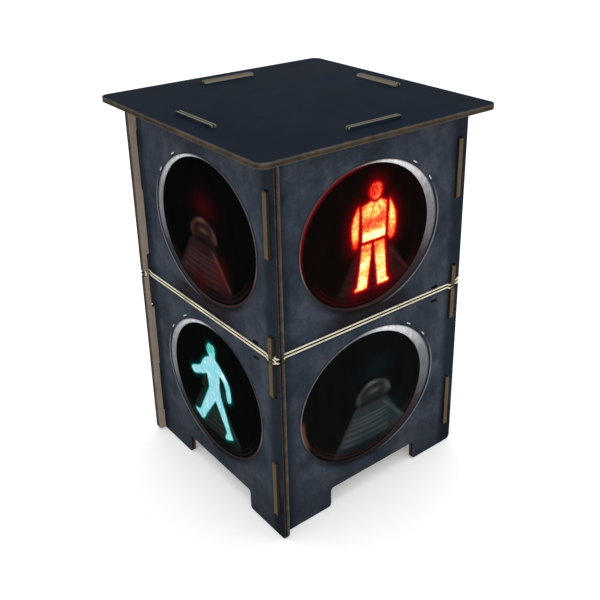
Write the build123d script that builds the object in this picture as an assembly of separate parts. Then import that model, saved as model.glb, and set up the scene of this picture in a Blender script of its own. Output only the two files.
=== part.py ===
from build123d import *
import os
from math import tan, cos, acos, pi

# Slot-together stool: four printed fibreboard walls in a pinwheel, a seat plate on four tabs,
# a half-lapped diagonal brace inside, and one rubber ring stretched across each wall.
# Millimetres, +Z up. The origin is on the floor, under the middle of the seat.
# The front wall faces -Y; the other walls are the same board turned about Z.

# --- driving dimensions -------------------------------------------------------------------
seat_side = 295.0
seat_top = 420.0
seat_corner_radius = 10.0
board = 6.0
edge_break = 0.4

wall_plane = 123.0          # middle of the stool to the outer face of a wall
free_end = 9.0              # a wall's far end stands this much beyond its neighbour's face
tip = 3.0                   # tabs stand this much proud of the board they pass through
slot_play = 0.5             # room beside an upper or lower side tab, on the outer side
ring_room = 2.5             # the same beside the middle tab, where the rubber ring passes
slot_end_gap = 1.5
fit_gap = 0.15

side_tab_length = 65.0
side_tab_heights = (60.0, 204.5, 350.5)
top_tab_length = 66.0
top_tab_centre = 2.5
tab_corner_radius = 1.4

arch_width = 123.0          # opening between a wall's two feet
arch_height = 23.5
arch_corner_radius = 3.5
foot_corner_radius = 4.0
outer_corner_radius = 5.5

strand = 1.6                # rubber ring, cross-section diameter as stretched
strand_pitch = 3.7
ring_height = 214.5         # heights are between the two strands
tab_hook_height = 212.2
end_hook_height = 215.2
ring_gap_height = 215.75    # where a ring passes its neighbour's hooked end
tab_hook_pitch = 4.0
end_hook_pitch = 4.6
hook_width = 2.1
tab_hook_depth = 3.7
end_hook_depth = 3.9
bend_radius = 1.3

brace_half_length = 162.0
brace_foot = 28.0
brace_arch_height = 60.0
lap_gap = 0.1

# --- derived places -----------------------------------------------------------------------
wall_top = seat_top - board
inner_plane = wall_plane - board
wall_left = -inner_plane
wall_right = wall_plane + free_end
arch_centre = (wall_left + wall_right) / 2


def block(x0, x1, z0, z1):
    """Flat rectangle between two corners."""
    return Pos((x0 + x1) / 2, (z0 + z1) / 2) * Rectangle(x1 - x0, z1 - z0)


def rounded(sketch, radius, keep):
    """Rounds the corners of a sketch that the test keep(x, z) accepts."""
    corners = [v for v in sketch.vertices() if keep(v.X, v.Y)]
    return fillet(corners, radius)


def rounded_block(x0, x1, z0, z1, radius):
    return fillet(block(x0, x1, z0, z1).vertices(), radius)


def break_edges(solid, axis):
    """Takes the sharp arris off both faces of a board."""
    faces = solid.faces().sort_by(axis)
    return chamfer(faces[0].edges() + faces[-1].edges(), edge_break)


# --- walls --------------------------------------------------------------------------------
def wall_panel():
    """Outline of the board without its tabs: two feet with an arch between them."""
    panel = block(wall_left, wall_right, 0, wall_top)
    panel = rounded(panel, outer_corner_radius, lambda x, z: x > 0)
    x0 = arch_centre - arch_width / 2
    x1 = arch_centre + arch_width / 2
    panel -= block(x0, x1, -1, arch_height)
    panel = rounded(panel, arch_corner_radius, lambda x, z: abs(z - arch_height) < 0.01)
    is_foot = lambda x, z: abs(z) < 0.01 and (abs(x - x0) < 0.01 or abs(x - x1) < 0.01)
    return rounded(panel, foot_corner_radius, is_foot)


def side_tabs():
    """Three tabs on the left end, which pass through the neighbour's slots."""
    tabs = Sketch()
    far = -(wall_plane + tip)
    for height in side_tab_heights:
        half = side_tab_length / 2
        tab = block(far, wall_left + 2, height - half, height + half)
        tabs += rounded(tab, tab_corner_radius, lambda x, z: x < far + 0.01)
    for side in (-1, 1):
        z = tab_hook_height + side * tab_hook_pitch / 2
        tabs -= block(far - 1, far + tab_hook_depth, z - hook_width / 2, z + hook_width / 2)
    return tabs


def top_tab():
    """One tab that passes through the seat."""
    high = seat_top + tip
    x0 = top_tab_centre - top_tab_length / 2
    x1 = top_tab_centre + top_tab_length / 2
    return rounded(block(x0, x1, wall_top - 2, high), tab_corner_radius, lambda x, z: z > high - 0.01)


def side_slots():
    """Slots near the free end for the neighbour's tabs, with room for the ring beside them."""
    slots = Sketch()
    for height, room in zip(side_tab_heights, (slot_play, ring_room, slot_play)):
        half = side_tab_length / 2 + slot_end_gap
        x0 = inner_plane - fit_gap
        x1 = wall_plane + room
        slots += rounded_block(x0, x1, height - half, height + half, slot_end_gap)
    return slots


def end_hooks():
    """Two cuts in the free end that leave a tooth for the ring to hook on."""
    cuts = Sketch()
    for side in (-1, 1):
        z = end_hook_height + side * end_hook_pitch / 2
        x0 = wall_right - end_hook_depth
        cuts += block(x0, wall_right + 1, z - hook_width / 2, z + hook_width / 2)
    return cuts


def wall():
    """The front wall, with its outer face at -Y."""
    outline = wall_panel() + side_tabs() + top_tab() - side_slots() - end_hooks()
    solid = extrude(Plane.XZ.offset(inner_plane) * outline, board)
    return break_edges(solid, Axis.Y)


# --- seat ---------------------------------------------------------------------------------
def seat_slot():
    x0 = top_tab_centre - top_tab_length / 2 - 3 * fit_gap
    x1 = top_tab_centre + top_tab_length / 2 + 3 * fit_gap
    return block(x0, x1, -wall_plane - fit_gap, -inner_plane + fit_gap)


def seat():
    outline = fillet(Rectangle(seat_side, seat_side).vertices(), seat_corner_radius)
    for quarter in range(4):
        outline -= Rot(0, 0, 90 * quarter) * seat_slot()
    solid = extrude(Plane.XY.offset(wall_top) * outline, board)
    return break_edges(solid, Axis.Z)


# --- brace --------------------------------------------------------------------------------
def brace_board(lap_from, lap_to):
    """Board on the stool's diagonal, standing on two short feet, with half of a cross lap."""
    outline = block(-brace_half_length, brace_half_length, 0, wall_top)
    inner = brace_half_length - brace_foot
    outline -= rounded_block(-inner, inner, -40, brace_arch_height, 20)
    outline -= block(-board / 2 - lap_gap, board / 2 + lap_gap, lap_from, lap_to)
    solid = extrude(Plane.XZ.offset(-board / 2) * outline, board)
    return solid


# --- rubber rings -------------------------------------------------------------------------
def ring_corners(side):
    """Corners of one strand's centre line across the front wall, left to right.

    side is 1 for the upper strand and -1 for the lower one.
    """
    level = ring_height + side * strand_pitch / 2
    at_gap = ring_gap_height + side * strand_pitch / 2
    at_end = end_hook_height + side * end_hook_pitch / 2
    at_tab = tab_hook_height + side * tab_hook_pitch / 2
    on_face = -wall_plane - ring_room / 2
    on_end = -wall_plane - free_end + end_hook_depth - strand / 2 - 0.2
    at_slot = -wall_plane - strand / 2 - 0.25
    on_tab = -wall_plane - tip + tab_hook_depth - strand / 2 - 0.2
    in_gap = wall_plane + ring_room / 2
    outside = -wall_plane - strand / 2 - 0.2
    inside = -inner_plane + strand / 2 + 0.2
    return [
        Vector(inside, on_end, at_end),
        Vector(outside, on_end, at_end),
        Vector(outside, on_face, at_gap),
        Vector(1.5 - inner_plane, on_face, at_gap),
        Vector(5.5 - inner_plane, on_face, level),
        Vector(inner_plane - 5, on_face, level),
        Vector(inner_plane - 0.8, at_slot, at_tab),
        Vector(in_gap, on_tab, at_tab),
        Vector(in_gap, -wall_plane + 1.8, at_tab),
    ]


def bend(before, corner, after):
    """Start, middle and end of the round bend at one corner of a path."""
    back = (before - corner).normalized()
    ahead = (after - corner).normalized()
    half_turn = (pi - acos(max(-1, min(1, back.dot(ahead))))) / 2
    reach = bend_radius * tan(half_turn)
    middle = bend_radius / cos(half_turn) - bend_radius
    return corner + back * reach, corner + (back + ahead).normalized() * middle, corner + ahead * reach


def swept(edges):
    path = Wire(edges)
    section = Plane(origin=path @ 0, z_dir=path % 0) * Circle(strand / 2)
    return sweep(section, path=path)


def ring():
    """Closed loop: the upper strand out, the lower strand back."""
    corners = ring_corners(1) + ring_corners(-1)[::-1]
    count = len(corners)
    bends = [bend(corners[i - 1], corners[i], corners[(i + 1) % count]) for i in range(count)]
    edges = []
    for i, (start, middle, end) in enumerate(bends):
        edges.append(ThreePointArc(start, middle, end).edge())
        edges.append(Line(end, bends[(i + 1) % count][0]).edge())
    return swept(edges[:count]) + swept(edges[count:])


# --- all nodes ----------------------------------------------------------------------------
os.makedirs("parts", exist_ok=True)
lap_middle = (brace_arch_height + wall_top) / 2
front_wall = wall()
front_ring = ring()
for quarter, name in enumerate(("front", "right", "back", "left")):
    turn = Rot(0, 0, 90 * quarter)
    export_step(turn * front_wall, "parts/wall_" + name + ".step")
    export_step(turn * front_ring, "parts/ring_" + name + ".step")
export_step(seat(), "parts/seat_plate.step")
export_step(Rot(0, 0, 45) * brace_board(lap_middle, wall_top + 1), "parts/brace_board_lower.step")
export_step(Rot(0, 0, -45) * brace_board(-41, lap_middle), "parts/brace_board_upper.step")
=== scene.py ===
import math

import bmesh
import bpy
import numpy as np
from mathutils import Matrix, Vector
from mathutils.geometry import delaunay_2d_cdt


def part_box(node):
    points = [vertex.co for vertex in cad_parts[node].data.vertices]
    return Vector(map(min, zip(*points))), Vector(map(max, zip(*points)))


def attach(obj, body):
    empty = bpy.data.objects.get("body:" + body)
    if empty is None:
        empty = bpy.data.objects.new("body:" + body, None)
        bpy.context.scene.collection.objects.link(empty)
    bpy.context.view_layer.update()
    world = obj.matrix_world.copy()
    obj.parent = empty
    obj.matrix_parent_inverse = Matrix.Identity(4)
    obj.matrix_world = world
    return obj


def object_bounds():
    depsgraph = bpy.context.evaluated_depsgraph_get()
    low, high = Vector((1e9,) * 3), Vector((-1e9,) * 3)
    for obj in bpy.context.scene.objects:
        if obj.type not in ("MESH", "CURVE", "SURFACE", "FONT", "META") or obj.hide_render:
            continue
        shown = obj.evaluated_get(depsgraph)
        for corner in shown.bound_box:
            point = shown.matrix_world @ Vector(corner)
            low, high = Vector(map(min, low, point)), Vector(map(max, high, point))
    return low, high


# Slot-together stool of printed board: the looks.
# The frame is in metres. Artwork is laid out in millimetres on each wall: x runs left to right as
# the wall is seen from outside, from the stool's middle, and z is the height above the floor.

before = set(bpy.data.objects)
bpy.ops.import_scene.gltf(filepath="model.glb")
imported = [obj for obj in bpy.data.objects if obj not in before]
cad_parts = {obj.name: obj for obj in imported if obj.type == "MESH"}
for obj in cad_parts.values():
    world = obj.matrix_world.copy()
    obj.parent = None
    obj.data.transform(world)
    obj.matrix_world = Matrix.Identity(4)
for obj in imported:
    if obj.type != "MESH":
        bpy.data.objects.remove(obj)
cad_low, cad_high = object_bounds()

MM = 0.001
SIDES = ("front", "right", "back", "left")

wall_low, wall_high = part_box("wall_front")
_, seat_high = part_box("seat_plate")
ring_low, ring_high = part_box("ring_front")
HALF_BOARD = (wall_high.y - wall_low.y) / 2 / MM
WALL_FACE = -wall_low.y / MM
WALL_MIDDLE = WALL_FACE - HALF_BOARD
WALL_START = HALF_BOARD - WALL_MIDDLE  # flush with the inner face of the wall beside it
WALL_END = wall_high.x / MM
SEAT_TOP = seat_high.z / MM
SEAT_MIDDLE = SEAT_TOP - HALF_BOARD
RING_HEIGHT = (ring_low.z + ring_high.z) / 2 / MM

# The print is built up in very thin layers, so that each one covers the one below.
LAYER = 0.05
SUNK = 0.03
SURROUND_LAYER, GLASS_LAYER, RIM_LAYER = 1, 2, 3

# How squarely a surface must face outward, from 0 to 1, to count as a face of its board.
SQUARE_ON = (0.88, 0.96)


# --- numbers and colours ------------------------------------------------------------------
def ink(red, green, blue):
    """Linear shader colour for a printed colour, given as it shows on screen from 0 to 255."""

    def linear(share):
        return share / 12.92 if share <= 0.04045 else ((share + 0.055) / 1.055) ** 2.4

    return linear(red / 255), linear(green / 255), linear(blue / 255), 1.0


def smooth(start, end, value):
    """0 before start, 1 after end, and an even curve between them. start may be above end."""
    share = np.clip((value - start) / (end - start), 0, 1)
    return share * share * (3 - 2 * share)


def ridge(value, middle, width):
    """Soft line: 1 at its middle, fading over this width to each side."""
    return np.exp(-(((value - middle) / width) ** 2))


def spot(x, z, centre, width, height):
    """Soft round spot: 1 at its centre."""
    return ridge(x, centre[0], width) * ridge(z, centre[1], height)


# --- materials ----------------------------------------------------------------------------
class Wire:
    """The output of a material node, used in formulas like a number."""

    def __init__(self, tree, socket):
        self.tree = tree
        self.socket = socket

    def combine(self, operation, *others):
        node = self.tree.nodes.new("ShaderNodeMath")
        node.operation = operation
        for place, value in zip(node.inputs, (self, *others)):
            connect(self.tree, value, place)
        return Wire(self.tree, node.outputs[0])

    def __add__(self, other):
        return self.combine("ADD", other)

    def __sub__(self, other):
        return self.combine("SUBTRACT", other)

    def __mul__(self, other):
        return self.combine("MULTIPLY", other)

    def __rsub__(self, other):
        return self.combine("MULTIPLY_ADD", -1.0, other)

    __radd__ = __add__

    def size(self):
        return self.combine("ABSOLUTE")

    def over(self, start, end):
        """0 before start, 1 after end, and an even curve between them. start may be above end."""
        node = self.tree.nodes.new("ShaderNodeMapRange")
        node.interpolation_type = "SMOOTHSTEP"
        connect(self.tree, self, node.inputs["Value"])
        node.inputs["From Min"].default_value = start
        node.inputs["From Max"].default_value = end
        return Wire(self.tree, node.outputs["Result"])


def connect(tree, value, place):
    """Links a wire to a socket, or sets the socket to a plain value."""
    if isinstance(value, Wire):
        tree.links.new(value.socket, place)
    else:
        place.default_value = value


class Look:
    """A material under construction: one Principled shader and the formulas that drive it."""

    def __init__(self, name, roughness, specular):
        self.material = bpy.data.materials.new(name)
        self.material.use_nodes = True
        self.tree = self.material.node_tree
        self.shader = self.tree.nodes["Principled BSDF"]
        self.shader.inputs["Roughness"].default_value = roughness
        self.shader.inputs["Specular IOR Level"].default_value = specular
        self.point = None

    def new(self, kind):
        return self.tree.nodes.new("ShaderNode" + kind)

    def rotated(self, output, turn):
        """Object coordinates or the object-space normal, turned back about Z by the wall's turn."""
        source = self.new("TexCoord").outputs[output]
        node = self.new("VectorRotate")
        node.rotation_type = "Z_AXIS"
        node.inputs["Angle"].default_value = -turn
        self.tree.links.new(source, node.inputs["Vector"])
        return node.outputs[0]

    def parts(self, socket):
        node = self.new("SeparateXYZ")
        self.tree.links.new(socket, node.inputs[0])
        return [Wire(self.tree, output) for output in node.outputs]

    def place(self, turn=0.0):
        """Wires for x, y and z in millimetres, in the frame of a wall that is turned this much."""
        node = self.new("VectorMath")
        node.operation = "SCALE"
        node.inputs["Scale"].default_value = 1 / MM
        self.tree.links.new(self.rotated("Object", turn), node.inputs[0])
        self.point = node.outputs[0]
        return self.parts(self.point)

    def facing(self, turn=0.0):
        return self.parts(self.rotated("Normal", turn))

    def attribute(self, name):
        node = self.new("Attribute")
        node.attribute_name = name
        return Wire(self.tree, node.outputs["Fac"])

    def noise(self, size, stretch=(1, 1, 1), detail=3.0, rough=0.55, seed=0.0):
        """Cloudy noise around 0.5 whose features are about size millimetres."""
        stretched = self.new("VectorMath")
        stretched.operation = "MULTIPLY"
        self.tree.links.new(self.point, stretched.inputs[0])
        stretched.inputs[1].default_value = stretch
        node = self.new("TexNoise")
        node.noise_dimensions = "4D"
        node.inputs["W"].default_value = seed
        node.inputs["Scale"].default_value = 1 / size
        node.inputs["Detail"].default_value = detail
        node.inputs["Roughness"].default_value = rough
        self.tree.links.new(stretched.outputs[0], node.inputs["Vector"])
        return Wire(self.tree, node.outputs["Fac"])

    def blend(self, share, first, second):
        """Colour first where share is 0 and second where it is 1."""
        node = self.new("Mix")
        node.data_type = "RGBA"
        connect(self.tree, share, node.inputs[0])
        connect(self.tree, first, node.inputs[6])
        connect(self.tree, second, node.inputs[7])
        return Wire(self.tree, node.outputs[2])

    def ramp(self, share, stops):
        """Colours along a scale: stops are (position, colour) pairs."""
        node = self.new("ValToRGB")
        connect(self.tree, share, node.inputs["Fac"])
        scale = node.color_ramp.elements
        for element, (position, colour) in zip(scale, (stops[0], stops[-1])):
            element.position = position
            element.color = colour
        for position, colour in stops[1:-1]:
            scale.new(position).color = colour
        return Wire(self.tree, node.outputs["Color"])

    def drive(self, colour=None, roughness=None, height=None, depth=0.05):
        """Connects the finished formulas. height is a relief of depth millimetres."""
        if colour is not None:
            connect(self.tree, colour, self.shader.inputs["Base Color"])
        if roughness is not None:
            connect(self.tree, roughness, self.shader.inputs["Roughness"])
        if height is not None:
            node = self.new("Bump")
            node.inputs["Distance"].default_value = depth * MM
            connect(self.tree, height, node.inputs["Height"])
            self.tree.links.new(node.outputs["Normal"], self.shader.inputs["Normal"])
        return self.material


def wall_print(look, x, z):
    """Colour of the printed housing: weathered slate paint with clouds and streaks, darker towards its
    ends, towards the floor and between its lamps, with painted shade under the seat's edge and a
    painted shadow just under the ring.
    """
    clouds = look.noise(46, detail=4, seed=2.1)
    streaks = look.noise(11, stretch=(1, 1, 0.7), detail=5, rough=0.65, seed=5.3)
    grain = look.noise(1.3, detail=2, seed=7.7)
    tone = (clouds - 0.5) * 1.5 + (streaks - 0.5) * 0.8 + (grain - 0.5) * 0.4 + 0.54
    colour = look.ramp(
        tone,
        [
            (0.0, ink(26, 31, 39)),
            (0.35, ink(39, 45, 54)),
            (0.6, ink(50, 56, 66)),
            (1.0, ink(72, 76, 83)),
        ],
    )
    end_band = x.over(WALL_END - 26, WALL_END - 13) * 0.7
    start_band = x.over(WALL_START + 18, WALL_START + 6) * 0.55
    low_band = z.over(70, 30) * 0.3
    colour = look.blend(end_band + start_band + low_band, colour, ink(17, 24, 31))
    between_lamps = 224
    below_lamp = (z - between_lamps).size().over(13, 6) * x.size().over(80, 35) * 0.85
    colour = look.blend(below_lamp, colour, ink(26, 20, 22))
    # Painted shade: darker just under the seat's overhanging edge.
    under_seat_shade = z.over(SEAT_TOP - 16, SEAT_TOP - 7) * 0.3
    # Painted shadow of the rubber ring: a dark band just under it.
    painted_ring_shadow = (z - (RING_HEIGHT - 2.2)).size().over(3.6, 0.8) * 0.9
    return look.blend(under_seat_shade + painted_ring_shadow, colour, ink(7, 8, 10))


def seat_print(look):
    """Colour of the seat: even dark slate with a faint weave of lighter flecks."""
    clouds = look.noise(70, detail=3, seed=1.2)
    grain = look.noise(1.1, detail=2, seed=3.4)
    tone = (clouds - 0.5) * 0.8 + (grain - 0.5) * 0.35 + 0.5
    return look.ramp(tone, [(0.2, ink(16, 24, 35)), (0.5, ink(21, 29, 40)), (0.9, ink(27, 35, 47))])


def cut_edge(look, printed, wander, fibre, blotch, x, z):
    """Colour of sawn fibreboard: a brown core between paler skins, charred on one side.

    wander is the depth in the board's thickness, positive towards its outer face.
    """
    core = look.ramp(
        (fibre - 0.5) * 1.3 + (blotch - 0.5) * 1.1 + 0.5,
        [(0.15, ink(40, 34, 28)), (0.5, ink(58, 50, 41)), (0.85, ink(84, 68, 50))],
    )
    skin = look.blend(blotch.over(0.35, 0.7), ink(66, 62, 57), ink(88, 80, 73))
    cut = look.blend(wander.over(0.3, 1.6), core, skin)
    if printed == "seat":
        return look.blend(wander.over(-1.7, -2.6), cut, ink(80, 76, 72))

    charred = wander.over(-0.4, -1.2)
    if printed == "wall":
        seat_tab = z.over(SEAT_TOP, SEAT_TOP + 1)
        side_tab = x.over(-WALL_FACE - 1.5, -WALL_FACE - 2.2)
        seat_tab_end = look.blend(wander.size().over(0.7, 1.3), ink(58, 54, 45), ink(118, 117, 104))
        side_tab_end = look.blend(fibre, ink(56, 50, 42), ink(110, 94, 74))
        cut = look.blend(seat_tab, cut, seat_tab_end)
        cut = look.blend(side_tab, cut, side_tab_end)
        charred = charred * (1.0 - seat_tab) * (1.0 - side_tab)
    return look.blend(charred, cut, ink(27, 23, 21))


def board_look(name, turn, printed, level=None):
    """Board seen from all sides: print or bare board on its faces, brown fibre on its cut edges.

    turn is the board's turn about Z. level is the height of a flat board's middle, or None for an
    upright one. printed is "wall", "seat" or None.
    """
    look = Look(name, roughness=0.6, specular=0.006 if printed == "seat" else 0.01)
    x, y, z = look.place(turn)
    _, normal_y, normal_z = look.facing(turn)
    if level is None:
        outward = normal_y * -1.0
        depth = y + (WALL_MIDDLE if printed else 0.0)
    else:
        outward = normal_z
        depth = z - level

    fibre = look.noise(0.9, detail=3, rough=0.7, seed=8.2)
    blotch = look.noise(11, detail=3, seed=4.4)
    speck = look.noise(0.7, detail=2, seed=9.9)
    wander = depth + (fibre - 0.5) * 0.9
    cut = cut_edge(look, printed, wander, fibre, blotch, x, z)
    worn = look.blend((fibre * 0.6 + blotch * 0.4).over(0.45, 0.68), ink(50, 50, 50), ink(98, 92, 84))
    arris = outward.size().over(0.2, 0.5)
    cut = look.blend(arris * 0.8, cut, worn)
    bare = look.ramp(
        (blotch - 0.5) * 0.7 + (speck - 0.5) * 0.9 + 0.5,
        [(0.1, ink(134, 121, 108)), (0.5, ink(155, 141, 128)), (0.9, ink(176, 163, 149))],
    )
    if not printed:
        either_face = outward.size().over(*SQUARE_ON)
        rough = 0.86 + (speck - 0.5) * 0.12
        return look.drive(look.blend(either_face, cut, bare), rough, fibre, depth=0.06)

    if printed == "wall":
        # Tabs that stand through the next wall's slot: painted shade of the slot on both faces, with
        # fibre grain on the printed side.
        tab_face = x.over(WALL_START - 0.1, WALL_START - 0.4)
        tab_grain_and_shade = look.blend(fibre, ink(34, 32, 25), ink(64, 58, 45))
        film = look.blend(tab_face, wall_print(look, x, z), tab_grain_and_shade)
        bare = look.blend(tab_face, bare, ink(33, 34, 30))
    else:
        film = seat_print(look)
    outer_face = outward.over(*SQUARE_ON)
    inner_face = (outward * -1.0).over(*SQUARE_ON)
    colour = look.blend(outer_face, look.blend(inner_face, cut, bare), film)
    smear = look.noise(24, detail=4, seed=6.1)
    rough = 0.78 - outer_face * 0.22 + (smear - 0.5) * 0.16
    height = fibre * (1.0 - outer_face * 0.8) + look.noise(0.5, detail=1, seed=3.0) * 0.25
    return look.drive(colour, rough, height, depth=0.06)


def rubber_look():
    """Cream rubber: chalky, with fine lengthwise lines and grey dust in places."""
    look = Look("rubber_ring", roughness=0.7, specular=0.2)
    look.place()
    dust = look.noise(14, detail=4, seed=3.8)
    line = look.noise(0.5, stretch=(0.15, 0.15, 1), detail=2, seed=1.7)
    tone = dust + (line - 0.5) * 0.7
    colour = look.ramp(
        tone, [(0.1, ink(168, 158, 132)), (0.5, ink(222, 214, 190)), (0.9, ink(240, 236, 220))]
    )
    return look.drive(colour, 0.62 + dust * 0.16, line, depth=0.03)


def floor_look():
    """Pale paper floor, with a little light of its own so that it shows as white."""
    look = Look("studio_floor", roughness=0.7, specular=0.2)
    look.place()
    colour = look.ramp(
        look.noise(400, detail=2), [(0.3, ink(250, 250, 250)), (0.7, ink(252, 252, 252))]
    )
    look.shader.inputs["Emission Color"].default_value = (1, 1, 1, 1)
    look.shader.inputs["Emission Strength"].default_value = 0.24
    return look.drive(colour)


def glass_look(name, dark, street, sky, edge):
    """Lens of a printed lamp: near black, with a faint mirrored street and the lamp's own glow."""
    look = Look(name, roughness=0.42, specular=0.0)
    look.place()
    grain = look.noise(1.6, detail=3, seed=2.9)
    smear = look.noise(13, stretch=(1, 1, 0.4), detail=4, seed=7.1)
    base = look.blend(smear, dark, tuple(0.4 * c for c in dark[:3]) + (1.0,))
    mirrored = look.attribute("street") * (0.65 + smear * 0.7) * (0.75 + grain * 0.5)
    colour = look.blend(mirrored, base, street)
    colour = look.blend(look.attribute("sky") * (0.6 + grain * 0.8), colour, sky)
    colour = look.blend(look.attribute("edge") * (0.7 + smear * 0.6), colour, edge)
    colour = look.blend(look.attribute("halo") * (0.8 + grain * 0.4), colour, HALO[name])
    colour = look.blend(look.attribute("flare"), colour, FLARE[name])
    return look.drive(colour, 0.36 + smear * 0.16, grain, depth=0.01)


def rim_look():
    """Printed rim and hood of a lamp: from black through greys to white, warm where it is stained."""
    look = Look("lamp_rim", roughness=0.5, specular=0.01)
    look.place()
    streak = look.noise(2.6, stretch=(1, 1, 0.45), detail=4, rough=0.65, seed=6.6)
    stain = look.noise(10, detail=3, seed=8.8)
    level = look.attribute("level") * (0.62 + streak * 0.76)
    grey = look.ramp(
        level,
        [
            (0.0, ink(4, 4, 5)),
            (0.2, ink(48, 50, 54)),
            (0.5, ink(124, 127, 131)),
            (0.8, ink(202, 204, 207)),
            (1.0, ink(250, 251, 253)),
        ],
    )
    warm = look.ramp(
        level,
        [
            (0.0, ink(8, 2, 3)),
            (0.4, ink(112, 66, 60)),
            (0.8, ink(215, 178, 176)),
            (1.0, ink(246, 230, 228)),
        ],
    )
    colour = look.blend(look.attribute("warmth") * (0.6 + stain * 0.8), grey, warm)
    colour = look.blend(look.attribute("glow"), colour, ink(84, 24, 30))
    return look.drive(colour, 0.44 + stain * 0.14, streak, depth=0.01)


def surround_look():
    """Housing just outside a lamp: the wall's own print with cast shadow and thin lit edges."""
    look = Look("lamp_surround", roughness=0.6, specular=0.01)
    x, _, z = look.place()
    colour = wall_print(look, x, z)
    stain = look.noise(7, detail=4, seed=1.1)
    colour = look.blend(look.attribute("shade") * (0.7 + stain * 0.6), colour, ink(15, 12, 11))
    colour = look.blend(look.attribute("lit") * (0.5 + stain), colour, ink(150, 152, 158))
    return look.drive(colour, 0.52 + stain * 0.12, stain, depth=0.02)


def figure_look(name, stops, seed):
    """Lit figure: the scale of stops runs from its rim to the hottest part of its middle."""
    mottling = 1.5
    look = Look(name, roughness=0.5, specular=0.01)
    look.place()
    patch = look.noise(7.5, detail=5, rough=0.7, seed=seed)
    speckle = look.noise(2.2, detail=3, seed=seed + 3)
    heat = look.attribute("burn") + (patch - 0.5) * mottling + (speckle - 0.5) * mottling * 0.6
    colour = look.ramp(heat, stops)
    return look.drive(colour, 0.42 + patch * 0.16, speckle, depth=0.01)


def mark_look(name, colour, second):
    """Small printed part in two close shades."""
    look = Look(name, roughness=0.5, specular=0.006)
    look.place()
    worn = look.noise(1.5, detail=3, seed=5.5)
    return look.drive(look.blend(worn, colour, second), 0.45 + worn * 0.2, worn, depth=0.01)


# --- meshes on a wall ---------------------------------------------------------------------
def oval(ellipse, grow=0.0):
    """Function from an angle in degrees to a point on an ellipse, or on one this much larger."""
    centre_x, centre_z, radius_x, radius_z = ellipse

    def point(angle):
        turn = math.radians(angle)
        return (
            centre_x + (radius_x + grow) * math.cos(turn),
            centre_z + (radius_z + grow) * math.sin(turn),
        )

    return point


def rounded(corners, radius):
    """Closed outline through these corners, with each corner drawn as a curve."""
    outline = []
    for index, corner in enumerate(corners):
        here = Vector(corner)
        before = Vector(corners[index - 1]) - here
        after = Vector(corners[(index + 1) % len(corners)]) - here
        reach = min(radius, 0.45 * before.length, 0.45 * after.length)
        start = here + before.normalized() * reach
        end = here + after.normalized() * reach
        for share in np.linspace(0, 1, 6):
            rest = 1 - share
            outline.append(start * rest ** 2 + here * 2 * share * rest + end * share ** 2)
    return [tuple(point) for point in outline]


def edge_distance(x, z, outlines):
    """Distance in millimetres from each point to the nearest of these closed outlines."""
    nearest = np.full(len(x), 1e9)
    for outline in outlines:
        corners = np.array(outline)
        for start, end in zip(corners, np.roll(corners, -1, axis=0)):
            along = end - start
            share = ((x - start[0]) * along[0] + (z - start[1]) * along[1]) / max(along @ along, 1e-12)
            share = np.clip(share, 0, 1)
            gap = np.hypot(x - start[0] - share * along[0], z - start[1] - share * along[1])
            nearest = np.minimum(nearest, gap)
    return nearest


def inside(x, z, outline):
    """True for each point within a closed outline."""
    crossings = np.zeros(len(x), int)
    corners = np.array(outline)
    for (x0, z0), (x1, z1) in zip(corners, np.roll(corners, -1, axis=0)):
        spans = (z0 > z) != (z1 > z)
        if z1 != z0:
            crossings += spans & (x < x0 + (z - z0) * (x1 - x0) / (z1 - z0))
    return crossings % 2 == 1


def filled(outlines, spacing):
    """Points and triangles that fill closed outlines, with points inside to carry attributes."""
    points = []
    edges = []
    for outline in outlines:
        first = len(points)
        points += outline
        edges += [(first + i, first + (i + 1) % len(outline)) for i in range(len(outline))]
    low = np.min(points, axis=0)
    high = np.max(points, axis=0)
    grid = np.meshgrid(np.arange(low[0], high[0], spacing), np.arange(low[1], high[1], spacing))
    x, z = [axis.ravel() for axis in grid]
    within = np.any([inside(x, z, outline) for outline in outlines], axis=0)
    within &= edge_distance(x, z, outlines) > spacing / 2
    points += list(zip(x[within], z[within]))
    made = delaunay_2d_cdt([Vector(point) for point in points], edges, [], 1, 1e-5)
    return [tuple(point) for point in made[0]], made[2]


def between(inner, outer, rows, spokes):
    """Points and faces of a closed band between two curves, which are functions of an angle."""
    points = []
    for row in range(rows + 1):
        for spoke in range(spokes):
            angle = 360 * spoke / spokes
            near = Vector(inner(angle))
            far = Vector(outer(angle))
            points.append(tuple(near.lerp(far, row / rows)))
    faces = []
    for row in range(rows):
        for spoke in range(spokes):
            corner = row * spokes + spoke
            beside = row * spokes + (spoke + 1) % spokes
            faces.append((corner, corner + spokes, beside + spokes, beside))
    return points, faces


def on_wall(name, shape, quarter, layer, material):
    """A thin closed layer of print on one wall, made from flat points and faces in millimetres."""
    points, faces = shape
    height = WALL_FACE + layer * LAYER
    mesh = bpy.data.meshes.new(name)
    mesh.from_pydata([(x * MM, -height * MM, z * MM) for x, z in points], [], faces)
    tidy = bmesh.new()
    tidy.from_mesh(mesh)
    bmesh.ops.remove_doubles(tidy, verts=tidy.verts, dist=0.01 * MM)
    bmesh.ops.dissolve_degenerate(tidy, edges=tidy.edges, dist=0.002 * MM)
    for face in tidy.faces:
        if face.normal.y > 0:
            face.normal_flip()
    tidy.to_mesh(mesh)
    tidy.free()
    mesh.materials.append(material)
    piece = bpy.data.objects.new(name, mesh)
    bpy.context.scene.collection.objects.link(piece)
    piece.rotation_euler = (0, 0, math.radians(90 * quarter))
    thickness = piece.modifiers.new("thickness", "SOLIDIFY")
    thickness.thickness = (layer * LAYER + SUNK) * MM
    thickness.offset = -1
    bpy.context.view_layer.update()
    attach(piece, "carcass")
    return piece


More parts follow.
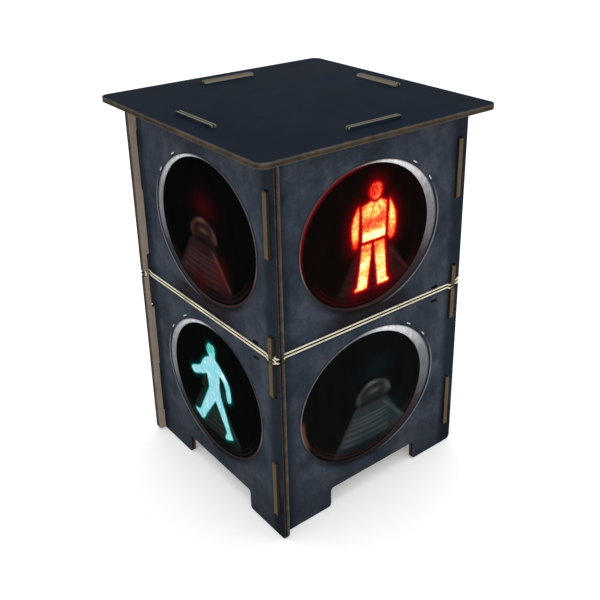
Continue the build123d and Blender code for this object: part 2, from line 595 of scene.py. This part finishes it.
def paint(piece, name, formula):
    """Stores formula(x, z) on the piece's points, for its material to read."""
    place = np.zeros(len(piece.data.vertices) * 3)
    piece.data.vertices.foreach_get("co", place)
    x, _, z = place.reshape(-1, 3).T / MM
    values = np.broadcast_to(formula(x, z), x.shape).astype(np.float32)
    piece.data.attributes.new(name, "FLOAT", "POINT").data.foreach_set("value", values)


# --- the four lamps -----------------------------------------------------------------------
# An ellipse is its middle x and z and its two radii. Angles run from 0 at the right through 90 at
# the top. rim_light is how bright the rim is, from 0 to 1, at the hood's side, at its crown and on
# the far side. rim_warmth is how pink or brown it is at angles round it. vanishing is where the
# mirrored street runs to. swell is the angle at which the rim stands further out than its
# ellipse, and by how much. clips are the angles between which each clip lies.
UNDERSIDE = 0.11  # how bright every rim is at its lowest point


class Lamp:
    """One printed lamp. Its kind names its lens, its figure if it has one, and its colours."""

    def __init__(self, rim, glass, vanishing, kind, rim_light, rim_warmth, clips, swell=(0, 0.0)):
        self.rim = rim
        self.glass = glass
        self.vanishing = vanishing
        self.kind = kind
        self.rim_light = rim_light
        self.rim_warmth = rim_warmth
        self.clips = clips
        self.swell = swell
        self.hood_on_right = kind in ("stop_lit", "go_dark")


STOP_LIT = Lamp(
    rim=(-1.5, 307, 89.9, 77.3),
    glass=(-7, 308, 83, 74.5),
    vanishing=(5, 300),
    kind="stop_lit",
    rim_light=(0.42, 0.9, 0.48),
    rim_warmth=[
        (0, 0.1), (80, 0.1), (100, 0.8), (170, 0.9), (190, 0.2), (235, 0.2), (270, 0.8),
        (330, 0.2), (360, 0.1),
    ],
    clips=[(49.5, 55), (29, 34.5)],
    swell=(135, 1.9),
)
GO_DARK = Lamp(
    rim=(-2.5, 122.5, 92, 77.5),
    glass=(-8.5, 122, 84, 74.5),
    vanishing=(5, 115),
    kind="go_dark",
    rim_light=(0.36, 0.86, 0.4),
    rim_warmth=[(0, 0), (150, 0), (185, 0.25), (215, 0.15), (270, 0.3), (310, 0.2), (360, 0)],
    clips=[(50.5, 56), (30.5, 36)],
)
STOP_DARK = Lamp(
    rim=(10.5, 309, 91.5, 77.5),
    glass=(14.5, 310, 85.5, 75),
    vanishing=(8, 300),
    kind="stop_dark",
    rim_light=(0.42, 0.8, 0.28),
    rim_warmth=[(0, 0.2), (40, 0), (220, 0), (260, 0.5), (330, 0.6), (352, 0.2), (360, 0.2)],
    clips=[(120, 126.5), (144.5, 150)],
    swell=(45, 1.9),
)
GO_LIT = Lamp(
    rim=(8.5, 122.5, 91.2, 77),
    glass=(12.5, 123, 84.5, 74.5),
    vanishing=(8, 115),
    kind="go_lit",
    rim_light=(0.46, 0.76, 0.28),
    rim_warmth=[(0, 0.2), (40, 0), (220, 0), (260, 0.4), (340, 0.4), (360, 0.2)],
    clips=[(120, 127), (146, 151.5)],
)

# Each kind of lamp: how strongly its lens mirrors the street, the lens's own dark, the street, the
# sky and the edge, the wide halo of its light, and the flare close to the light.
MIRROR = {"stop_lit": 0.55, "stop_dark": 1.0, "go_lit": 0.7, "go_dark": 1.0}
GLASS_COLOURS = {
    "stop_lit": (ink(18, 11, 10), ink(70, 38, 42), ink(92, 48, 48), ink(96, 10, 22)),
    "stop_dark": (ink(11, 10, 11), ink(62, 40, 42), ink(100, 70, 64), ink(34, 30, 26)),
    "go_lit": (ink(10, 11, 11), ink(52, 62, 60), ink(70, 84, 80), ink(30, 30, 28)),
    "go_dark": (ink(17, 17, 18), ink(64, 72, 76), ink(90, 97, 92), ink(104, 70, 54)),
}
HALO = {
    "stop_lit": ink(96, 2, 8),
    "stop_dark": ink(52, 8, 12),
    "go_lit": ink(4, 46, 46),
    "go_dark": ink(12, 36, 42),
}
FLARE = {
    "stop_lit": ink(176, 10, 20),
    "stop_dark": ink(84, 20, 22),
    "go_lit": ink(12, 92, 88),
    "go_dark": ink(14, 44, 48),
}


def stop_figure():
    """Standing figure: head, trunk, two arms and two legs, as separate outlines."""
    head = [oval((3.6, 353.2, 8.8, 9.6))(angle) for angle in range(0, 360, 12)]
    trunk = rounded(
        [(-2, 345), (2, 342.5), (6, 342.5), (10, 345), (19, 340.5), (18.5, 322), (17.5, 302),
         (-14, 302), (-14.5, 322), (-15, 341)],
        2.2,
    )
    left_arm = rounded(
        [(-17.4, 344), (-17.2, 328), (-18, 306), (-19.5, 297.5), (-25, 299), (-28.2, 309),
         (-28.2, 323), (-24, 336)],
        4.5,
    )
    right_arm = rounded(
        [(21.6, 343), (26, 337), (31.8, 324), (32, 309), (29.5, 299.5), (24, 296.5),
         (20.2, 300), (20.6, 320)],
        4.5,
    )
    left_leg = rounded(
        [(-14.6, 300.2), (-0.4, 300.2), (-1.6, 285), (-6, 250.5), (-22.5, 250.5), (-24.5, 253.5),
         (-20.5, 256.5), (-16.5, 282)],
        1.8,
    )
    right_leg = rounded(
        [(1.4, 300.2), (16.8, 300.2), (18.2, 282), (20.4, 256.5), (24.2, 254), (22.6, 250), (7.2, 250),
         (3, 282)],
        1.8,
    )
    return [head, trunk, left_arm, right_arm, left_leg, right_leg]


def go_figure():
    """Walking figure in one outline, clockwise from the back of the head."""
    return [
        rounded(
            [
                (12.5, 177.5), (14.6, 174), (14.2, 160.5), (22, 156.8), (31, 150), (39.5, 141.5),
                (41.5, 131), (42.4, 121.5), (35.5, 116.6), (33, 120.5), (31.4, 132), (28, 139.5),
                (21.6, 144), (19.4, 131), (21, 118.5), (30, 98), (37.6, 80.5), (42.2, 72.6),
                (27, 65), (24.8, 67.5), (28.6, 76), (9.4, 106.4), (-4, 88), (-18, 68.6), (-22.4, 66.6),
                (-34.4, 72.6), (-35.4, 76), (-25.4, 78.4), (-2.4, 119.5), (-3.4, 128), (-5.4, 135.4),
                (-14, 130), (-28, 124), (-33, 122.6), (-38.4, 127.4), (-36, 131.4), (-18.4, 140),
                (-12, 150), (-6, 156.4), (3.2, 160.4), (-2.2, 163.8), (-2.4, 171), (2.2, 177.2),
            ],
            2.6,
        )
    ]


def stop_heat(x, z):
    """How hot each part of the standing figure burns: a red head, orange chest and white belt."""
    limbs = 0.72 - 0.42 * smooth(316, 300, z) - 0.16 * smooth(26, 31, np.abs(x - 2))
    arm = (x < -16) | (x > 20)
    chest = 0.56 + 0.12 * smooth(322, 338, z) + 0.16 * spot(x, z, (3, 331), 9, 5)
    lapels = ridge(np.abs(x - 4), (345 - z) * 0.42, 1.3) * smooth(324, 330, z)
    crease = ridge(z, 321 + 0.12 * x, 4.5)
    belt = smooth(316, 309, z) * 0.5
    trunk = chest + belt - 0.2 * crease - 0.22 * lapels
    legs = 0.9 - 0.34 * smooth(276, 298, z)
    heat = np.where(z > 301, np.where(arm, limbs, trunk), np.where(arm & (z > 294), limbs, legs))
    return np.where(z > 344.6, 0.27 + 0.08 * smooth(356, 346, z), heat)


FIGURES = {"stop_lit": stop_figure, "go_lit": go_figure}
STOP_SCALE = [
    (0.0, ink(180, 6, 10)),
    (0.16, ink(226, 26, 16)),
    (0.34, ink(236, 78, 44)),
    (0.55, ink(236, 132, 64)),
    (0.78, ink(248, 214, 100)),
    (0.95, ink(250, 244, 166)),
    (1.0, ink(252, 248, 206)),
]
GO_SCALE = [
    (0.0, ink(4, 62, 52)),
    (0.16, ink(54, 158, 142)),
    (0.36, ink(92, 196, 182)),
    (0.56, ink(134, 206, 214)),
    (0.8, ink(158, 210, 228)),
    (1.0, ink(220, 240, 246)),
]


def street(x, z):
    """Brightness of the street mirrored in a lens; x and z are from its vanishing point."""
    half_width = 26 - 0.62 * (z + 5)
    left_edge = -half_width
    right_edge = half_width - 6
    road = smooth(left_edge - 1.5, left_edge + 2.5, x) * smooth(right_edge + 2, right_edge - 2, x)
    road *= smooth(-1, -10, z) * smooth(-62, -40, z)
    stripes = 0 * x
    for drop in (20, 25, 29.5, 36, 43.5, 50):
        stripes += ridge(z, 0.0025 * x * x - drop, 0.5 + drop * 0.03)
    crossing = stripes * smooth(left_edge + 2, left_edge + 8, x) * smooth(26, 20, x)
    return road * (0.34 + 0.46 * crossing)


def sky(x, z):
    """The bright parts of the mirror image: an arch over the street and a pale kerb."""
    radius = np.hypot(x / 26, z / 22)
    arch = smooth(0.74, 0.84, radius) * smooth(1.04, 0.94, radius) * smooth(-3, 4, z)
    arch *= 0.16 + 0.6 * ridge(x, -3, 8) + 0.14 * ridge(x, 22, 7)
    inner_arch = 0.42 * spot(x, z, (1, 8.5), 8, 2.6)
    inner_arch += 0.1 * smooth(0.92, 0.7, radius) * smooth(-6, 2, z)
    inner_arch += 0.22 * spot(x, z, (19, 6), 3.5, 7)
    inner_arch += 0.12 * spot(x, z, (-20, 2), 3, 8)
    kerb_x = 16 + (-11 - z) * 0.9
    kerb = ridge(x, kerb_x, 2.4) * smooth(-8, -14, z) * smooth(-47, -40, z) * 0.42
    return arch + inner_arch + kerb


def angle_round(x, z, ellipse):
    """Angle in degrees, from 0 to 360, of each point round an ellipse."""
    centre_x, centre_z, radius_x, radius_z = ellipse
    return np.degrees(np.arctan2((z - centre_z) / radius_z, (x - centre_x) / radius_x)) % 360


def reach_of(x, z, ellipse):
    """About how many millimetres each point lies outside an ellipse."""
    centre_x, centre_z, radius_x, radius_z = ellipse
    share = np.hypot((x - centre_x) / radius_x, (z - centre_z) / radius_z)
    return (share - 1) * (radius_x + radius_z) / 2


def swell_at(lamp, angle):
    """How much further out than its ellipse the rim stands at this angle."""
    middle, amount = lamp.swell
    return amount * smooth(50, 12, np.abs(angle - middle))


def rim_line(lamp, grow=0.0):
    """The rim's outer edge, or a line this much outside it, as a function of an angle."""
    return lambda angle: oval(lamp.rim, grow + float(swell_at(lamp, angle % 360)))(angle)


def beyond_rim(x, z, lamp):
    """About how many millimetres each point lies outside a lamp's rim."""
    return reach_of(x, z, lamp.rim) - swell_at(lamp, angle_round(x, z, lamp.rim))


def away_from(angle, middle):
    """Degrees between two angles, the short way round."""
    return np.abs((angle - middle + 180) % 360 - 180)


def below_hood(lamp, degrees):
    """Angle this far down from the hood's side."""
    return -degrees if lamp.hood_on_right else 180 + degrees


def along(stops, angle):
    """Value at an angle, from (angle, value) pairs."""
    angles, values = zip(*stops)
    return np.interp(angle, angles, values)


def glass_edge(lamp, x, z):
    """Light caught by the lens near its edge: thin arcs low down, and a strip on two of the lamps."""
    depth = -reach_of(x, z, lamp.glass)
    angle = angle_round(x, z, lamp.glass)
    arcs = ridge(depth, 4, 0.9) + 0.6 * ridge(depth, 8, 0.8)
    low_arcs = arcs * smooth(200, 225, angle) * smooth(345, 315, angle)
    if lamp.kind == "stop_lit":
        strip = smooth(84, 110, angle) * smooth(205, 172, angle) * smooth(3.5, 0.5, depth)
        return strip * 0.8 + low_arcs * 0.3
    if lamp.kind == "go_dark":
        strip = smooth(174, 184, angle) * smooth(212, 194, angle) * smooth(4.5, 2.5, depth)
        return np.clip(strip * 0.7 + low_arcs * 0.16, 0, 1)
    return low_arcs * 0.8


def make_glass(name, lamp, quarter, outlines):
    """The lens, with its mirror image and the glow of its figure or of the daylight in it."""
    shape = between(lambda angle: lamp.glass[:2], oval(lamp.glass, 1.0), 52, 192)
    glass = on_wall(name, shape, quarter, GLASS_LAYER, looks[lamp.kind])
    mirror = MIRROR[lamp.kind]
    far_x, far_z = lamp.vanishing
    paint(glass, "street", lambda x, z: mirror * street(x - far_x, z - far_z))
    paint(glass, "sky", lambda x, z: mirror * sky(x - far_x, z - far_z))
    paint(glass, "edge", lambda x, z: glass_edge(lamp, x, z))
    if outlines:
        wide, tight = (5.5, 1.1) if lamp.kind == "stop_lit" else (2.6, 0.8)
        paint(glass, "halo", lambda x, z: np.exp(-((edge_distance(x, z, outlines) / wide) ** 1.3)))
        paint(glass, "flare", lambda x, z: np.exp(-((edge_distance(x, z, outlines) / tight) ** 1.6)))
        return

    above, below = (0.7, 0.75) if lamp.kind == "stop_dark" else (0.25, 0.35)

    def daylight(x, z):
        column = spot(x, z, (far_x + 5, far_z + 35), 18, 13)
        pool = spot(x, z, (far_x - 10, far_z - 49), 14, 11)
        return above * column + below * pool

    paint(glass, "halo", daylight)
    paint(glass, "flare", lambda x, z: 0.5 * spot(x, z, (far_x + 27, far_z - 30), 12, 14))


def rim_brightness(lamp, angle):
    """Light from above on the rim: dark underneath, brightest near the top on the hood's side.

    climb is the angle from the lowest point, round by the hood's side.
    """
    side, crown, far = lamp.rim_light
    climb = (angle - 270) % 360 if lamp.hood_on_right else (270 - angle) % 360
    light = UNDERSIDE + (side - UNDERSIDE) * smooth(40, 90, climb)
    light += (crown - side) * smooth(90, 165, climb)
    light -= (crown - far) * smooth(165, 195, climb)
    light -= (far - UNDERSIDE) * smooth(260, 330, climb)
    glint = ridge(climb, 285, 12)
    return light + 0.12 * glint


def rim_level(lamp, x, z):
    """How light the rim is at each point: it darkens towards both of its edges."""
    past_glass = reach_of(x, z, lamp.glass)
    inside_rim = -beyond_rim(x, z, lamp)
    rounding = 1.0 - 0.1 * smooth(3, 0, past_glass) - 0.35 * smooth(1.6, 0.3, inside_rim)
    return rim_brightness(lamp, angle_round(x, z, lamp.rim)) * rounding


def rim_glow(lamp, x, z):
    """Red light of the standing figure along the upper left of its own lamp's rim."""
    if lamp.kind != "stop_lit":
        return 0 * x
    angle = angle_round(x, z, lamp.rim)
    inside_rim = -beyond_rim(x, z, lamp)
    band = smooth(3.2, 1.8, inside_rim) * smooth(0.3, 1.2, inside_rim)
    return 0.9 * band * smooth(96, 112, angle) * smooth(176, 160, angle)


def make_rim(name, lamp, quarter):
    shape = between(oval(lamp.glass), rim_line(lamp), 6, 240)
    rim = on_wall(name, shape, quarter, RIM_LAYER, looks["rim"])
    paint(rim, "level", lambda x, z: rim_level(lamp, x, z))
    paint(rim, "glow", lambda x, z: rim_glow(lamp, x, z))
    paint(rim, "warmth", lambda x, z: along(lamp.rim_warmth, angle_round(x, z, lamp.rim)))


def surround_shade(lamp, x, z):
    """Shadow on the housing: all round the rim, cast below it, and in a groove beside the hood."""
    reach = beyond_rim(x, z, lamp)
    angle = angle_round(x, z, lamp.rim)
    all_round = 0.5 * smooth(2.2, 0.2, reach)
    below = 0.85 * smooth(75, 25, away_from(angle, 270)) * smooth(9, 1, reach)
    groove = smooth(62, 30, away_from(angle, below_hood(lamp, 22)))
    groove *= ridge(reach, 1.6, 1.0)
    return np.max([all_round, below, groove], axis=0)


def surround_lit(lamp, x, z):
    """Thin lit edge on the housing beside the hood."""
    beside = away_from(angle_round(x, z, lamp.rim), below_hood(lamp, 28))
    edge = ridge(beyond_rim(x, z, lamp), 3.6, 0.8)
    return 0.5 * edge * smooth(58, 34, beside)


def make_surround(name, lamp, quarter):
    shape = between(rim_line(lamp, -1.0), rim_line(lamp, 11.0), 24, 192)
    surround = on_wall(name, shape, quarter, SURROUND_LAYER, looks["surround"])
    paint(surround, "shade", lambda x, z: surround_shade(lamp, x, z))
    paint(surround, "lit", lambda x, z: surround_lit(lamp, x, z))


def clip_outline(lamp, start, end, share, near, far):
    """Outline of a mark that bends with the rim, over this share of the span from start to end."""
    middle = (start + end) / 2
    half = (end - start) / 2 * share
    angles = [middle - half, middle, middle + half]
    inner = [rim_line(lamp, near)(angle) for angle in angles]
    outer = [rim_line(lamp, far)(angle) for angle in reversed(angles)]
    return rounded(inner + outer, 0.6)


def make_clips(name, lamp, quarter):
    """Small light clips on the housing beside the hood, each with a dark edge under it."""
    light = [clip_outline(lamp, start, end, 0.7, 3.2, 4.6) for start, end in lamp.clips]
    dark = [clip_outline(lamp, start, end, 0.9, 1.9, 3.0) for start, end in lamp.clips]
    on_wall(name + "_light", filled(light, 1.5), quarter, RIM_LAYER, looks["clip_light"])
    on_wall(name + "_dark", filled(dark, 1.5), quarter, GLASS_LAYER, looks["clip_dark"])


def figure_heat(lamp, outlines, x, z):
    """How hot each point of a figure burns, falling to a dim edge."""
    inset = edge_distance(x, z, outlines)
    if lamp.kind == "stop_lit":
        return stop_heat(x, z) * (0.16 + 0.84 * smooth(0, 2.2, inset))
    light = 0.68 - 0.34 * smooth(160, 172, z) + 0.26 * spot(x, z, (27, 147), 7, 9)
    return light * (0.15 + 0.85 * smooth(0, 1.6, inset))


def make_figure(name, lamp, quarter, outlines):
    figure = on_wall(name, filled(outlines, 0.9), quarter, RIM_LAYER, looks[lamp.kind + "_figure"])
    paint(figure, "burn", lambda x, z: figure_heat(lamp, outlines, x, z))


def make_lamp(name, lamp, quarter):
    """All the printed layers of one lamp on one wall."""
    outlines = FIGURES[lamp.kind]() if lamp.kind in FIGURES else []
    make_surround(name + "_surround", lamp, quarter)
    make_glass(name + "_glass", lamp, quarter, outlines)
    make_rim(name + "_rim", lamp, quarter)
    make_clips(name + "_clip", lamp, quarter)
    if outlines:
        make_figure(name + "_figure", lamp, quarter, outlines)


def make_seam_marks(name, quarter):
    """Two small black marks near the free end, above and below the ring, both a little askew."""
    left, right, half = 88, 97, 1.5
    marks = []
    for offset in (-11.7, 5.8):
        z = RING_HEIGHT + offset
        marks.append(
            rounded(
                [
                    (left, z - half - 0.4),
                    (right, z - half),
                    (right, z + half),
                    (left, z + half - 0.4),
                ],
                0.8,
            )
        )
    on_wall(name, filled(marks, 2.0), quarter, GLASS_LAYER, looks["clip_dark"])


looks = {
    "rim": rim_look(),
    "surround": surround_look(),
    "clip_light": mark_look("clip_light", ink(140, 142, 148), ink(205, 207, 212)),
    "clip_dark": mark_look("clip_dark", ink(3, 3, 5), ink(9, 9, 13)),
    "stop_lit_figure": figure_look("stop_figure", STOP_SCALE, 4.0),
    "go_lit_figure": figure_look("go_figure", GO_SCALE, 9.0),
}
for kind, colours in GLASS_COLOURS.items():
    looks[kind] = glass_look(kind, *colours)

for quarter, side in enumerate(SIDES):
    if side in ("front", "back"):
        upper, lower = STOP_LIT, GO_DARK
    else:
        upper, lower = STOP_DARK, GO_LIT
    make_lamp("lamp_" + side + "_upper", upper, quarter)
    make_lamp("lamp_" + side + "_lower", lower, quarter)
    make_seam_marks("seam_marks_" + side, quarter)


# --- materials of the boards and rings ----------------------------------------------------
def wear(node, material):
    """Gives a CAD node its material."""
    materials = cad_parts[node].data.materials
    materials.clear()
    materials.append(material)


rubber = rubber_look()
for quarter, side in enumerate(SIDES):
    wear("wall_" + side, board_look("wall_" + side, math.radians(90 * quarter), "wall"))
    wear("ring_" + side, rubber)
wear("seat_plate", board_look("seat_board", 0.0, "seat", SEAT_MIDDLE))
wear("brace_board_lower", board_look("brace_lower", math.radians(45), None))
wear("brace_board_upper", board_look("brace_upper", math.radians(-45), None))


# --- studio -------------------------------------------------------------------------------
def make_floor():
    """Pale floor a hair below the feet."""
    half = 6.0
    level = -0.0003
    corners = [(-half, -half), (half, -half), (half, half), (-half, half)]
    mesh = bpy.data.meshes.new("studio_floor")
    mesh.from_pydata([(x, y, level) for x, y in corners], [], [(0, 1, 2, 3)])
    mesh.materials.append(floor_look())
    floor = bpy.data.objects.new("studio_floor", mesh)
    bpy.context.scene.collection.objects.link(floor)


def soft_light(name, place, target, size, power):
    """Round area light, size metres across, aimed at target."""
    lamp = bpy.data.lights.new(name, "AREA")
    lamp.shape = "DISK"
    lamp.size = size
    lamp.energy = power
    holder = bpy.data.objects.new(name, lamp)
    bpy.context.scene.collection.objects.link(holder)
    holder.location = place
    holder.rotation_mode = "QUATERNION"
    holder.rotation_quaternion = (Vector(target) - Vector(place)).to_track_quat("-Z", "Y")


def make_world():
    """Even white light from all round."""
    world = bpy.data.worlds.new("studio")
    world.use_nodes = True
    background = world.node_tree.nodes["Background"]
    background.inputs["Color"].default_value = (1, 1, 1, 1)
    background.inputs["Strength"].default_value = 1.0
    bpy.context.scene.world = world


def make_camera():
    """Camera at the place and turn that show the front and left walls and the seat."""
    place = Vector((-0.5084, -0.6738, 0.6393))
    azimuth = math.radians(-39.27)
    elevation = math.radians(23.12)
    roll = math.radians(-0.38)
    back = Vector(
        (
            math.sin(azimuth) * math.cos(elevation),
            -math.cos(azimuth) * math.cos(elevation),
            math.sin(elevation),
        )
    )
    right = Vector((math.cos(azimuth), math.sin(azimuth), 0))
    up = back.cross(right)
    rolled_right = right * math.cos(roll) + up * math.sin(roll)
    rolled_up = up * math.cos(roll) - right * math.sin(roll)
    turn = Matrix((rolled_right, rolled_up, back)).transposed()
    lens = bpy.data.cameras.new("camera")
    lens.sensor_width = 36
    lens.lens = 49.94
    lens.shift_x = -0.0446
    lens.shift_y = -0.127
    camera = bpy.data.objects.new("camera", lens)
    bpy.context.scene.collection.objects.link(camera)
    camera.matrix_world = Matrix.Translation(place) @ turn.to_4x4()
    bpy.context.scene.camera = camera


make_floor()
make_world()
middle = (cad_low + cad_high) / 2
soft_light("key", (-0.9, -1.1, 1.9), middle, 1.6, 3)
soft_light("fill", (1.3, -1.0, 1.0), middle, 1.6, 1)
soft_light("top", (0.1, 0.3, 2.3), middle, 2.0, 4)
make_camera()
bpy.context.scene.view_settings.view_transform = "Standard"
